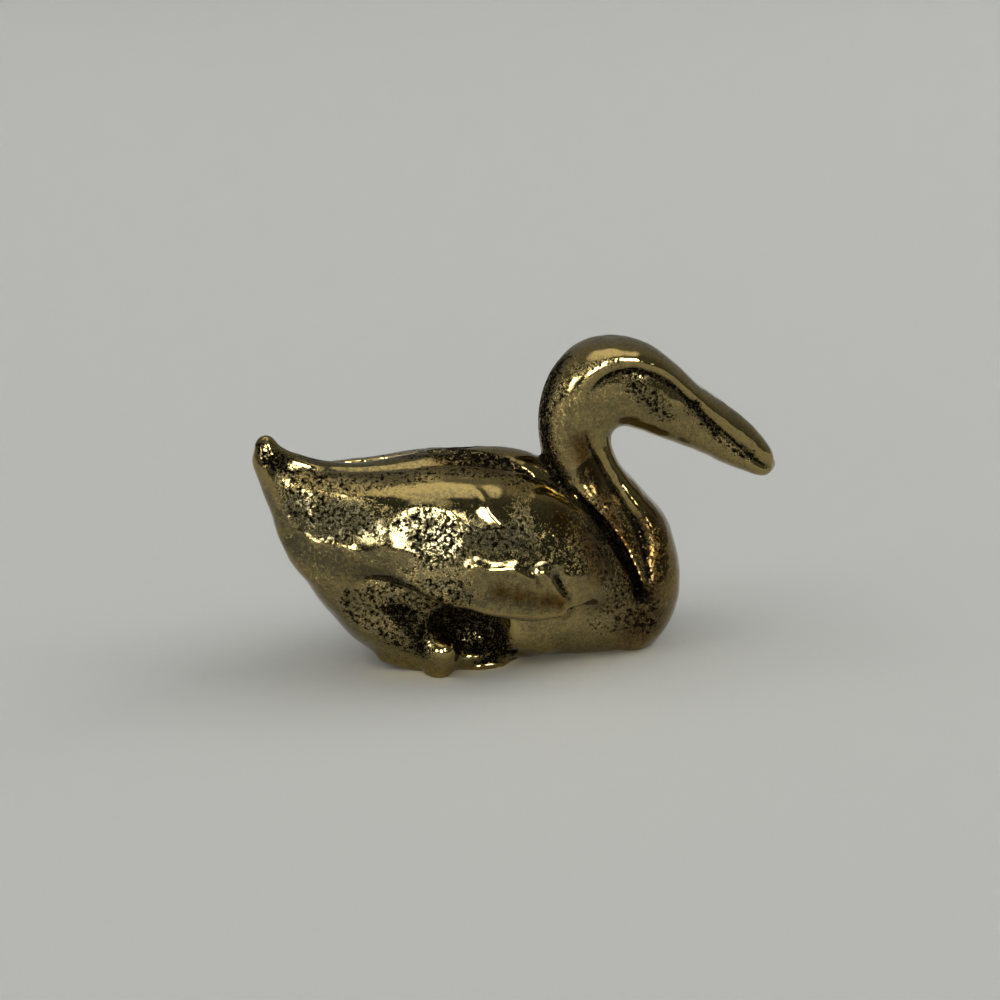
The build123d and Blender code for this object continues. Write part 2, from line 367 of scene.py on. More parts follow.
class Sculptor:
    """Moves the skin as the photograph shows its lumps, dents, ridges and seams."""

    EASING_PULL = 0.7
    LEAST_SHARE = 0.005
    WAVES = 24
    WAVE_SIZES = (0.8, 1.5)

    def __init__(self, skin: Skin, viewpoint: Viewpoint) -> None:
        """Looks at a skin from the photograph's viewpoint.

        Args:
            skin: The surface to move.
            viewpoint: The camera whose pixels place each mark.
        """
        self.skin = skin
        self.viewpoint = viewpoint
        self.aim()

    def aim(self) -> None:
        """Makes the tree that rays are cast on, from the skin as it is now."""
        polygons = [tuple(polygon.vertices) for polygon in self.skin.mesh.polygons]
        self.tree = BVHTree.FromPolygons([Vector(point) for point in self.skin.points], polygons)

    def hit(self, pixel: Pixel) -> tuple[Vector, Vector]:
        """The place of the surface that a pixel shows, and the normal there.

        Args:
            pixel: The place in the photograph.

        Returns:
            The point and the unit normal.
        """
        start = self.viewpoint.position()
        place, normal, _, _ = self.tree.ray_cast(start, self.viewpoint.ray(pixel))
        if place is None:
            beyond = start + self.viewpoint.ray(pixel) * self.viewpoint.distance
            place, normal, _, _ = self.tree.find_nearest(beyond)
        return place, normal

    def spread(self, pixel: Pixel, length: float, width: float, turn: float) -> np.ndarray:
        """How strongly a mark at a pixel reaches each point, from 1 at its middle.

        Args:
            pixel: The middle of the mark.
            length: Its reach along the turn.
            width: Its reach across.
            turn: The angle of its long way in the picture, in degrees.

        Returns:
            One share for each point.
        """
        place, normal = self.hit(pixel)
        right, up, _ = self.viewpoint.axes()
        angle = math.radians(turn)
        along = right * math.cos(angle) + up * math.sin(angle)
        along = (along - normal * along.dot(normal)).normalized()
        across = normal.cross(along)
        offset = self.skin.folded() - np.array(place)
        run = offset @ np.array(along) / length
        side = offset @ np.array(across) / width
        depth = offset @ np.array(normal) / max(length, width)
        return np.exp(-(run ** 2 + side ** 2 + depth ** 2))

    def dab(self, mark: Dab) -> None:
        """Raises or sinks the surface round one place."""
        share = self.spread(mark.pixel, mark.length, mark.width, mark.turn)
        self.skin.points += (mark.height * share)[:, None] * self.skin.normals

    def distance_from(self, pixels: tuple[Pixel, ...]) -> np.ndarray:
        """Each point's distance from a line on the surface.

        Args:
            pixels: The line in the photograph.

        Returns:
            One distance for each point, the left side's from the line's mirror image.
        """
        places = [self.hit(pixel)[0] for pixel in pixels]
        points = self.skin.folded()
        nearest = np.full(len(points), np.inf)
        for start, end in zip(places, places[1:]):
            run = np.array(end - start)
            offset = points - np.array(start)
            share = np.clip(offset @ run / (run @ run), 0, 1)
            gap = offset - share[:, None] * run
            nearest = np.minimum(nearest, np.linalg.norm(gap, axis=1))
        return nearest

    def ease(self, trail: Easing) -> None:
        """Evens the surface out along a trail; points beyond its reach stay where they are.

        Args:
            trail: Where, how wide and how often.
        """
        skin = self.skin
        share = self.EASING_PULL * np.exp(-((self.distance_from(trail.pixels) / trail.width) ** 2))
        share[share < self.LEAST_SHARE] = 0
        patch = skin.edges[(share[skin.edges] > 0).any(axis=1)]
        places, ends = np.unique(patch, return_inverse=True)
        first, second = ends.reshape(-1, 2).T
        points = skin.points[places]
        pull = (share / skin.degree)[places]
        for _ in range(trail.rounds):
            for axis in range(3):
                along = points[:, axis].copy()
                drawn = np.bincount(first, weights=along[second] - along[first], minlength=len(places))
                drawn += np.bincount(second, weights=along[first] - along[second], minlength=len(places))
                points[:, axis] += pull * drawn
        skin.points[places] = points

    def roughen(self, relief: Relief) -> None:
        """Lays swells of one size over the whole skin, as plane waves in random headings.

        Args:
            relief: Their size, height and seed.
        """
        draw = np.random.default_rng(relief.seed)
        swell = np.zeros(len(self.skin.points))
        for _ in range(self.WAVES):
            heading = draw.normal(size=3)
            wave_length = relief.size * draw.uniform(*self.WAVE_SIZES)
            heading *= 2 * math.pi / (wave_length * np.linalg.norm(heading))
            swell += np.sin(self.skin.points @ heading + draw.uniform(0, 2 * math.pi))
        self.skin.points += (relief.height * math.sqrt(2 / self.WAVES) * swell)[:, None] * self.skin.normals

    def stroke(self, line: Stroke) -> None:
        """Raises a ridge or cuts a groove along a line."""
        share = np.exp(-((self.distance_from(line.pixels) / line.width) ** 2))
        self.skin.points += (line.height * share)[:, None] * self.skin.normals


EASED = (
    Easing(((285, 470), (284, 500), (290, 530), (300, 555), (330, 571), (345, 574)), 1.8, 160),
    Easing(((330, 571), (345, 574), (384, 580), (409, 588), (432, 596)), 2.2, 260),
    Easing(((270, 452), (262, 450)), 2.0, 60),
    Easing(((640, 600), (630, 618), (622, 640)), 1.6, 60),
    Easing(((640, 602), (641, 606)), 1.2, 160),
    Easing(((640, 606), (620, 610), (600, 606), (585, 606), (572, 612)), 1.6, 260),
    Easing(((437, 598), (470, 604), (500, 615), (510, 632)), 0.9, 40),
    Easing(((425, 640), (428, 655), (432, 668), (445, 672), (458, 664), (458, 650)), 1.3, 60),
)

SOFTENED = (
    Easing(((418, 650), (424, 662), (432, 669), (447, 672), (462, 665)), 1.1, 90),
    Easing(((428, 636), (437, 632), (450, 636)), 0.8, 30),
)

DABS = (
    Dab((348, 549), 0.30, 1.7, 1.1, -20),
    Dab((396, 546), 0.30, 2.4, 2.0, -30),
    Dab((432, 536), -0.35, 2.4, 2.0),
    Dab((505, 528), 0.25, 2.0, 2.8, 30),
    Dab((575, 575), 0.35, 2.6, 2.0, -60),
    Dab((556, 537), 0.10, 0.7, 0.5, -60),
    Dab((571, 548), 0.16, 0.7, 0.5, -80),
    Dab((404, 578), 0.30, 2.4, 0.9, -26),
    Dab((583, 520), 0.25, 2.0, 2.4),
    Dab((400, 614), -0.25, 2.6, 1.6, -20),
    Dab((445, 655), 0.50, 2.4, 1.6, -10),
    Dab((559, 604), 0.40, 1.3, 0.9, -55),
)

STROKES = (
    Stroke(((285, 487), (325, 492), (365, 495), (400, 489), (445, 485), (500, 491), (535, 497)), 0.08, 1.0),
    Stroke(((388, 528), (398, 516), (415, 508), (434, 506), (450, 511), (461, 524), (462, 545)), 0.14, 0.8),
    Stroke(((299, 532), (315, 543), (335, 544), (348, 546)), 0.14, 0.5),
    Stroke(((478, 494), (488, 512), (503, 528)), 0.28, 0.8),
    Stroke(((474, 568), (490, 574), (512, 573), (527, 582)), 0.45, 0.9),
    Stroke(((542, 572), (549, 585), (556, 599), (562, 610)), 0.55, 0.75),
    Stroke(((557, 578), (564, 592), (571, 606)), -0.25, 1.0),
    Stroke(((284, 535), (294, 558), (330, 578), (370, 586), (410, 591), (450, 600), (490, 606), (530, 610),
            (558, 609)), 0.70, 2.2),
    Stroke(((430, 600), (470, 614), (510, 630), (545, 648)), 0.45, 1.6),
    Stroke(((445, 620), (480, 634), (515, 652)), -0.25, 1.0),
    Stroke(((385, 657), (405, 664), (425, 670), (445, 673), (470, 668), (500, 660)), 0.80, 1.3),
    Stroke(((264, 468), (268, 480), (273, 492), (279, 505)), 0.35, 0.7),
    Stroke(((274, 470), (280, 490), (290, 514)), -0.15, 0.6),
)

MASK_TRAILS = (
    MaskTrail(Mask.PITS, ((300, 520), (350, 530), (420, 540), (500, 550), (560, 560), (590, 540)), 0.45, 6.0),
    MaskTrail(Mask.RUBBED, ((290, 520), (350, 530), (420, 535), (500, 545), (560, 550),
                        (590, 530)), -0.6, 4.5),
    MaskTrail(Mask.RUBBED, ((290, 545), (320, 562), (360, 572), (400, 580)), -0.8, 1.6),
    MaskTrail(Mask.RUBBED, ((560, 640), (600, 640), (650, 625), (655, 580)), -0.5, 2.5),
    MaskTrail(Mask.RUBBED, ((430, 590), (480, 600), (530, 604), (560, 604)), -0.7, 1.3),
    MaskTrail(Mask.PATINA_AND_SHADE, ((259, 446), (266, 458)), 0.8, 1.5),
    MaskTrail(Mask.PATINA_AND_SHADE, ((280, 456), (320, 460), (370, 460), (420, 456), (470, 456),
                        (500, 463)), 0.75, 1.1),
    MaskTrail(Mask.PITS, ((300, 505), (325, 515), (355, 518), (330, 530)), 0.8, 2.2),
    MaskTrail(Mask.RUBBED, ((300, 500), (325, 510), (355, 515)), -0.6, 2.4),
    MaskTrail(Mask.PITS, ((380, 535), (400, 518), (420, 511), (445, 512), (460, 530)), 0.35, 1.2),
    MaskTrail(Mask.PITS, ((522, 505), (524, 525), (526, 545)), 1.0, 1.1),
    MaskTrail(Mask.PITS, ((470, 535), (490, 538), (512, 535)), 0.9, 1.5),
    MaskTrail(Mask.RUBBED, ((470, 535), (490, 538), (512, 535)), -0.6, 1.6),
    MaskTrail(Mask.RUBBED, ((400, 483), (440, 478), (480, 478), (520, 486), (552, 495)), 1.0, 1.5),
    MaskTrail(Mask.PITS, ((430, 470), (470, 470), (510, 478)), 0.5, 0.9),
    MaskTrail(Mask.RUBBED, ((638, 530), (648, 570), (646, 600)), -0.8, 1.6),
    MaskTrail(Mask.PITS, ((385, 600), (405, 618), (413, 640), (395, 634)), 1.5, 2.2),
    MaskTrail(Mask.PATINA_AND_SHADE, ((400, 608), (412, 625), (418, 645)), 0.5, 1.6),
    MaskTrail(Mask.PATINA_AND_SHADE, ((588, 470), (605, 515), (626, 565)), 0.4, 1.4),
    MaskTrail(Mask.PATINA_AND_SHADE, ((272, 462), (284, 470), (294, 478)), 0.7, 0.9),
    MaskTrail(Mask.PITS, ((424, 530), (440, 536), (426, 545)), 1.5, 1.7),
    MaskTrail(Mask.PATINA_AND_SHADE, ((420, 533), (432, 541)), 0.55, 1.2),
    MaskTrail(Mask.PATINA_AND_SHADE, ((446, 540), (449, 526)), 0.5, 0.7),
    MaskTrail(Mask.RUBBED, ((428, 530), (440, 538), (426, 543)), -0.6, 1.6),
    MaskTrail(Mask.PATINA_AND_SHADE, ((392, 524), (410, 519), (420, 522)), 0.8, 0.45),
    MaskTrail(Mask.PITS, ((425, 562), (445, 560), (462, 556)), 1.2, 0.9),
    MaskTrail(Mask.PITS, ((283, 482), (292, 492), (305, 500)), 0.9, 1.0),
    # Patina and painted shade: the hollow round the foot, made near black.
    MaskTrail(Mask.PATINA_AND_SHADE, ((448, 610), (475, 622), (495, 638)), 2.0, 2.5),
    MaskTrail(Mask.PATINA_AND_SHADE, ((470, 640), (490, 648)), 1.0, 1.6),
    MaskTrail(Mask.PITS, ((412, 612), (416, 632), (420, 650)), 1.2, 1.6),
    MaskTrail(Mask.PATINA_AND_SHADE, ((405, 618), (416, 634), (422, 652)), 0.6, 1.4),
    MaskTrail(Mask.PATINA_AND_SHADE, ((385, 612), (405, 618), (428, 620)), 0.5, 1.8),
    MaskTrail(Mask.PITS, ((360, 612), (390, 612), (425, 610), (450, 600)), 1.3, 3.2),
    MaskTrail(Mask.PITS, ((400, 580), (425, 592), (445, 600)), 0.8, 1.4),
    MaskTrail(Mask.PITS, ((290, 478), (330, 482), (370, 482), (410, 478), (450, 471), (490, 474),
                      (525, 486)), 1.0, 1.6),
    MaskTrail(Mask.RUBBED, ((295, 484), (340, 490), (400, 486), (450, 479), (490, 484),
                        (525, 492)), 1.0, 1.4),
    MaskTrail(Mask.PITS, ((276, 464), (288, 476), (330, 476), (365, 476), (400, 473), (430, 468)), 0.8, 0.7),
    MaskTrail(Mask.RUBBED, ((285, 462), (320, 464), (370, 463), (410, 458), (450, 452)), -0.7, 1.0),
    # Painted shade: the dark slit in front of the wing, along the neck and down to the breast.
    MaskTrail(Mask.PATINA_AND_SHADE, ((418, 447), (450, 449), (480, 454), (510, 464), (540, 480),
                        (560, 492)), 1.3, 0.7),
    MaskTrail(Mask.PATINA_AND_SHADE, ((440, 458), (475, 462), (500, 470)), 0.5, 1.0),
    MaskTrail(Mask.PATINA_AND_SHADE, ((570, 498), (600, 526), (620, 552), (634, 580), (640, 598)), 1.4, 1.0),
    MaskTrail(Mask.PITS, ((600, 510), (600, 550), (620, 600), (600, 620), (640, 620)), 0.8, 3.5),
    MaskTrail(Mask.PITS, ((566, 358), (552, 376), (545, 400), (544, 430), (548, 452)), 1.3, 2.2),
    MaskTrail(Mask.PATINA_AND_SHADE, ((562, 362), (549, 385), (543, 410), (546, 440), (552, 466),
                        (562, 482)), 1.0, 1.8),
    MaskTrail(Mask.PITS, ((575, 400), (600, 392), (640, 395), (670, 415)), 0.5, 3.2),
    MaskTrail(Mask.PATINA_AND_SHADE, ((634, 384), (643, 392), (653, 402)), 0.75, 1.9),
    MaskTrail(Mask.PITS, ((632, 380), (642, 392), (653, 402), (666, 414)), 0.7, 1.4),
    # Painted shade: a thin dark line along the crease under the crown, and along the groove of the bill.
    MaskTrail(Mask.PATINA_AND_SHADE, ((600, 385), (615, 374), (635, 370), (655, 374), (675, 386),
                        (694, 404)), 0.45, 0.6),
    MaskTrail(Mask.PATINA_AND_SHADE, ((694, 404), (704, 420), (716, 434)), 1.0, 0.8),
    MaskTrail(Mask.PITS, ((690, 408), (710, 428), (730, 445), (750, 456)), 1.2, 1.1),
    MaskTrail(Mask.PITS, ((578, 372), (600, 362), (620, 362)), 0.7, 0.9),
    MaskTrail(Mask.RUBBED, ((590, 352), (615, 350), (650, 362), (690, 392), (730, 425)), 0.7, 1.2),
    MaskTrail(Mask.PITS, ((300, 560), (330, 590), (360, 600)), 0.4, 2.5),
    MaskTrail(Mask.PITS, ((650, 540), (655, 580), (645, 620)), 0.6, 3.0),
    MaskTrail(Mask.PATINA_AND_SHADE, ((638, 520), (648, 560), (648, 600)), 0.5, 1.6),
    MaskTrail(Mask.BROWN, ((580, 445), (600, 490), (620, 535), (634, 570)), 1.0, 1.6),
    MaskTrail(Mask.RUBBED, ((578, 440), (600, 490), (620, 535)), -0.7, 1.3),
    MaskTrail(Mask.BROWN, ((655, 520), (658, 560), (650, 600), (640, 630)), 0.9, 3.5),
    # Painted reflection: the dark reddish brown that the underside of the wing's lower lobe mirrors.
    MaskTrail(Mask.BROWN, ((500, 592), (535, 600), (560, 603)), 1.0, 1.3),
    MaskTrail(Mask.BROWN, ((560, 515), (585, 540), (600, 570)), 0.8, 2.6),
    MaskTrail(Mask.BROWN, ((440, 462), (470, 466), (500, 472)), 0.7, 1.2),
)

RELIEF = (Relief(6.0, 0.05, 11), Relief(2.6, 0.014, 23), Relief(1.2, 0.004, 37))


def prism(outline: list[Vector], depth: Vector) -> bpy.types.Mesh:
    """The solid that a flat outline sweeps, for parting a casting from the skin.

    Args:
        outline: The corners, in order.
        depth: How far and where the outline is swept.

    Returns:
        A closed mesh with its faces outward.
    """
    solid = bmesh.new()
    base = solid.faces.new([solid.verts.new(corner) for corner in outline])
    swept = bmesh.ops.extrude_face_region(solid, geom=[base])
    moved = [item for item in swept["geom"] if isinstance(item, bmesh.types.BMVert)]
    bmesh.ops.translate(solid, vec=depth, verts=moved)
    bmesh.ops.triangulate(solid, faces=solid.faces)
    bmesh.ops.recalc_face_normals(solid, faces=solid.faces)
    mesh = bpy.data.meshes.new("cutter")
    solid.to_mesh(mesh)
    solid.free()
    return mesh


def mirrored(mesh: bpy.types.Mesh) -> bpy.types.Mesh:
    """A copy of a mesh on the other side of the duck's middle plane.

    Args:
        mesh: The mesh on the right side.

    Returns:
        The copy, with its faces outward.
    """
    other = bmesh.new()
    other.from_mesh(mesh)
    bmesh.ops.scale(other, vec=(1, -1, 1), verts=other.verts)
    bmesh.ops.recalc_face_normals(other, faces=other.faces)
    made = bpy.data.meshes.new(mesh.name + "_mirrored")
    other.to_mesh(made)
    other.free()
    return made


def parted(whole: bpy.types.Mesh, cutter: bpy.types.Mesh) -> tuple[bpy.types.Mesh, bpy.types.Mesh]:
    """Cuts a closed mesh in two along a closed cutter.

    Args:
        whole: The mesh to cut.
        cutter: The shape that parts it.

    Returns:
        The share inside the cutter and the share outside.
    """
    tool = bpy.data.objects.new("cutter_holder", cutter)
    bpy.context.scene.collection.objects.link(tool)
    shares = []
    for operation in ("INTERSECT", "DIFFERENCE"):
        holder = bpy.data.objects.new("cut_holder", whole)
        bpy.context.scene.collection.objects.link(holder)
        modifier = holder.modifiers.new("part", "BOOLEAN")
        modifier.object = tool
        modifier.operation = operation
        modifier.solver = "MANIFOLD"
        shares.append(applied(holder))
    bpy.data.objects.remove(tool)
    return shares[0], shares[1]


def curve_through(corners: list[Corner], steps: int) -> list[Corner]:
    """A smooth line through points in a plane.

    Args:
        corners: The points.
        steps: How many places each stretch is given.

    Returns:
        The places along the line, both ends among them.
    """
    knots = np.array([corners[0], *corners, corners[-1]])
    places = []
    for before, start, end, after in zip(knots, knots[1:], knots[2:], knots[3:]):
        for step in range(steps):
            share = step / steps
            cubic = 3 * start - before - 3 * end + after
            square = 2 * before - 5 * start + 4 * end - after
            place = start + 0.5 * share * ((end - before) + share * (square + share * cubic))
            places.append((float(place[0]), float(place[1])))
    return [*places, corners[-1]]


@dataclass
class Joints:
    """Where the castings meet, from the same outlines as the solids.

    Sizes are millimetres. Outlines are shares of the duck's length and of the height of its back, and
    the ends of the neck's joint shares of its length and height.
    """

    length: float = 71.5
    height: float = 42.8
    back: float = 28.4
    seat_start: Corner = (-32.75, -1.3)
    seat_end: Corner = (13.87, -5.5)
    leading: tuple[Corner, ...] = (
        (-0.03, 1.02), (-0.01, 1.0), (0.045, 0.865), (0.12, 0.69), (0.17, 0.49), (0.196, 0.3),
    )
    lower: tuple[Corner, ...] = (
        (0.196, 0.3), (0.122, 0.3), (0.06, 0.345), (0.02, 0.315), (-0.08, 0.345), (-0.2, 0.465),
        (-0.29, 0.53), (-0.36, 0.545), (-0.42, 0.62),
    )
    rear: tuple[Corner, ...] = ((-0.42, 0.62), (-0.443, 0.82), (-0.452, 1.06), (-0.452, 1.3))
    above: Corner = (-0.03, 1.3)
    nape: Corner = (0.036, 0.619)
    breast: Corner = (0.284, 0.379)
    zone_reach: float = 16.0
    slit_middle: float = 0.5
    step_count: int = 8
    least_step: float = 0.01

    def seat_depth(self, along: float) -> float:
        """How far the seat lies from the middle plane at a place along the duck."""
        share = (along - self.seat_start[0]) / (self.seat_end[0] - self.seat_start[0])
        return self.seat_start[1] + share * (self.seat_end[1] - self.seat_start[1])

    def wing_zone(self) -> bpy.types.Mesh:
        """The prism on the seat that holds the right wing; its front runs down the middle of the slit.

        Returns:
            A closed mesh.
        """
        shift = self.slit_middle / self.length
        leading = [(along + shift, up) for along, up in self.leading]
        outline = []
        for stretch in (leading, self.lower, self.rear):
            outline += curve_through(list(stretch), self.step_count)
        outline.append(self.above)
        corners = []
        for along, up in outline:
            place = along * self.length
            corner = Vector((place, self.seat_depth(place), up * self.back))
            if not corners or (corner - corners[-1]).length > self.least_step:
                corners.append(corner)
        run = Vector((self.seat_end[0] - self.seat_start[0], self.seat_end[1] - self.seat_start[1], 0))
        outward = Vector((run.y, -run.x, 0)).normalized()
        return prism(corners, outward * self.zone_reach)

    def neck_zone(self) -> bpy.types.Mesh:
        """The block above the neck's joint plane.

        Returns:
            A closed mesh.
        """
        rear = Vector((self.nape[0] * self.length, 0, self.nape[1] * self.height))
        front = Vector((self.breast[0] * self.length, 0, self.breast[1] * self.height))
        run = (front - rear).normalized()
        reach = self.length
        side = Vector((0, 0.5 * reach, 0))
        low = rear - run * reach
        high = rear + run * reach
        rise = Vector((-run.z, 0, run.x))
        return prism([low - side, high - side, high + side, low + side], rise * reach)

    @staticmethod
    def foot_zone(margin: float, voxel: float) -> bpy.types.Mesh:
        """The right foot, grown on every side.

        Args:
            margin: How far its surface moves outward.
            voxel: The size of its quads.

        Returns:
            A closed mesh.
        """
        mesh = remeshed(casting_copy(Node.RIGHT_FOOT), voxel)
        grown = bmesh.new()
        grown.from_mesh(mesh)
        for vertex in grown.verts:
            vertex.co += vertex.normal * margin
        grown.to_mesh(mesh)
        grown.free()
        return mesh


class Painter:
    """Lays the colour masks on the skin.

    Hollows are found at two sizes, each by how often the surroundings are averaged and the depth in
    millimetres at which the tarnish is full.
    """

    FINE_ROUNDS = 4
    FINE_DEPTH = 0.05
    FINE_TARNISH = 0.8
    WIDE_ROUNDS = 60
    WIDE_DEPTH = 0.5
    WIDE_TARNISH = 0.6

    def __init__(self, sculptor: Sculptor) -> None:
        """Starts with bare masks.

        Args:
            sculptor: Who knows the skin and where its pixels fall.
        """
        self.sculptor = sculptor
        self.tree: KDTree | None = None
        self.masks = {mask: np.zeros(len(sculptor.skin.points)) for mask in Mask}

    def lay_trail(self, mark: MaskTrail) -> None:
        """Raises or lowers one mask along its trail."""
        distance = self.sculptor.distance_from(mark.pixels)
        self.masks[mark.mask] += mark.amount * np.exp(-((distance / mark.width) ** 2))

    def hollows(self) -> None:
        """Darkens what lies in hollows and rubs what stands proud."""
        fine = self.sculptor.skin.hollowness(self.FINE_ROUNDS) / self.FINE_DEPTH
        wide = self.sculptor.skin.hollowness(self.WIDE_ROUNDS) / self.WIDE_DEPTH
        self.masks[Mask.PATINA_AND_SHADE] += np.clip(fine, 0, 1) * self.FINE_TARNISH
        self.masks[Mask.PATINA_AND_SHADE] += np.clip(wide, 0, 1) * self.WIDE_TARNISH
        self.masks[Mask.RUBBED] += np.clip(-fine, 0, 1)

    def nearest(self, mesh: bpy.types.Mesh) -> np.ndarray:
        """The skin's nearest point for each point of a mesh cut from it.

        Args:
            mesh: A casting, still in millimetres.

        Returns:
            The index of a skin point for each of its points.
        """
        if self.tree is None:
            points = self.sculptor.skin.points.tolist()
            self.tree = KDTree(len(points))
            for index, point in enumerate(points):
                self.tree.insert(point, index)
            self.tree.balance()
        return np.array([self.tree.find(vertex.co)[1] for vertex in mesh.vertices])

    def lay_masks(self, mesh: bpy.types.Mesh) -> None:
        """Copies the masks from the nearest points of the skin.

        Args:
            mesh: A casting, still in millimetres.
        """
        nearest = self.nearest(mesh)
        for mask, values in self.masks.items():
            layer = mesh.attributes.new(mask.value, "FLOAT", "POINT")
            layer.data.foreach_set("value", np.clip(values[nearest], -1, 1).astype(np.float32))


@dataclass(frozen=True)
class Noise:
    """Cloudy noise: its marks a millimetre, how many finer layers it has and how strong those are."""

    scale: float
    detail: float
    roughness: float = 0.5


@dataclass(frozen=True)
class Ramp:
    """A smooth change: the range of what comes in, and what goes out at its ends and beyond them."""

    low: float
    high: float
    start: float = 0.0
    end: float = 1.0


@dataclass
class Shader:
    """A short way to lay nodes in a material's tree."""

    tree: bpy.types.NodeTree

    def node(self, kind: str, **inputs: Socket | float) -> bpy.types.Node:
        """Adds a node.

        Args:
            kind: The node's type without its ShaderNode prefix.
            inputs: Values or sockets for its inputs, by name with underscores for spaces.

        Returns:
            The node.
        """
        made = self.tree.nodes.new("ShaderNode" + kind)
        for name, value in inputs.items():
            self.feed(made.inputs[name.replace("_", " ")], value)
        return made

    def feed(self, socket: Socket, value: Socket | float | tuple[float, ...]) -> None:
        """Links a socket to an input, or sets the input's value.

        Args:
            socket: The input.
            value: Another node's socket, a number or a colour with its alpha.
        """
        if isinstance(value, Socket):
            self.tree.links.new(value, socket)
        else:
            socket.default_value = value

    def math(self, operation: str, *values: Socket | float, clamp: bool = False) -> Socket:
        """Adds a Math node.

        Args:
            operation: What it works out.
            values: Numbers or sockets.
            clamp: Whether the result is held between 0 and 1.

        Returns:
            The result.
        """
        made = self.tree.nodes.new("ShaderNodeMath")
        made.operation = operation
        made.use_clamp = clamp
        for socket, value in zip(made.inputs, values):
            self.feed(socket, value)
        return made.outputs[0]

    def total(self, *values: Socket | float) -> Socket:
        """Adds up two or more values.

        Args:
            values: Numbers or sockets.

        Returns:
            Their sum.
        """
        added = values[0]
        for value in values[1:]:
            added = self.math("ADD", added, value)
        return added

    def dot(self, direction: Socket, heading: Vector) -> Socket:
        """How far a direction runs along a fixed heading.

        Args:
            direction: The direction.
            heading: A unit vector.

        Returns:
            The cosine between them.
        """
        made = self.node("VectorMath")
        made.operation = "DOT_PRODUCT"
        self.feed(made.inputs[0], direction)
        made.inputs[1].default_value = heading
        return made.outputs["Value"]

    def span(self, value: Socket, ramp: Ramp) -> Socket:
        """A value brought from one range to another, smoothly and held at its ends.

        Args:
            value: What comes in.
            ramp: Both ranges.

        Returns:
            What goes out.
        """
        made = self.tree.nodes.new("ShaderNodeMapRange")
        made.interpolation_type = "SMOOTHSTEP"
        for socket, number in zip(made.inputs, (value, ramp.low, ramp.high, ramp.start, ramp.end)):
            self.feed(socket, number)
        return made.outputs[0]

    def blend(self, share: Socket, first: Socket | Colour, second: Socket | Colour) -> Socket:
        """A colour between two others.

        Args:
            share: How far it lies from the first to the second.
            first: One colour.
            second: The other.

        Returns:
            The mixed colour.
        """
        made = self.tree.nodes.new("ShaderNodeMix")
        made.data_type = "RGBA"
        self.feed(made.inputs[0], share)
        for socket, value in zip((made.inputs[6], made.inputs[7]), (first, second)):
            self.feed(socket, (*value, 1.0) if isinstance(value, tuple) else value)
        return made.outputs[2]

    def noise(self, place: Socket, look: Noise) -> Socket:
        """Lays cloudy noise.

        Args:
            place: The coordinates it is laid on, in millimetres.
            look: Its size and layers.

        Returns:
            Its strength.
        """
        made = self.node("TexNoise", Vector=place, Scale=look.scale, Detail=look.detail,
                         Roughness=look.roughness)
        return made.outputs[0]

    def mask(self, mask: Mask) -> Socket:
        """Reads one of the painted masks.

        Args:
            mask: Which one.

        Returns:
            Its strength.
        """
        made = self.tree.nodes.new("ShaderNodeAttribute")
        made.attribute_name = mask.value
        return made.outputs["Fac"]


@dataclass(frozen=True)
class Patterns:
    """The noises that the finish is mixed from, coarse to fine."""

    broad: Socket
    clouds: Socket
    patches: Socket
    specks: Socket
    grain: Socket


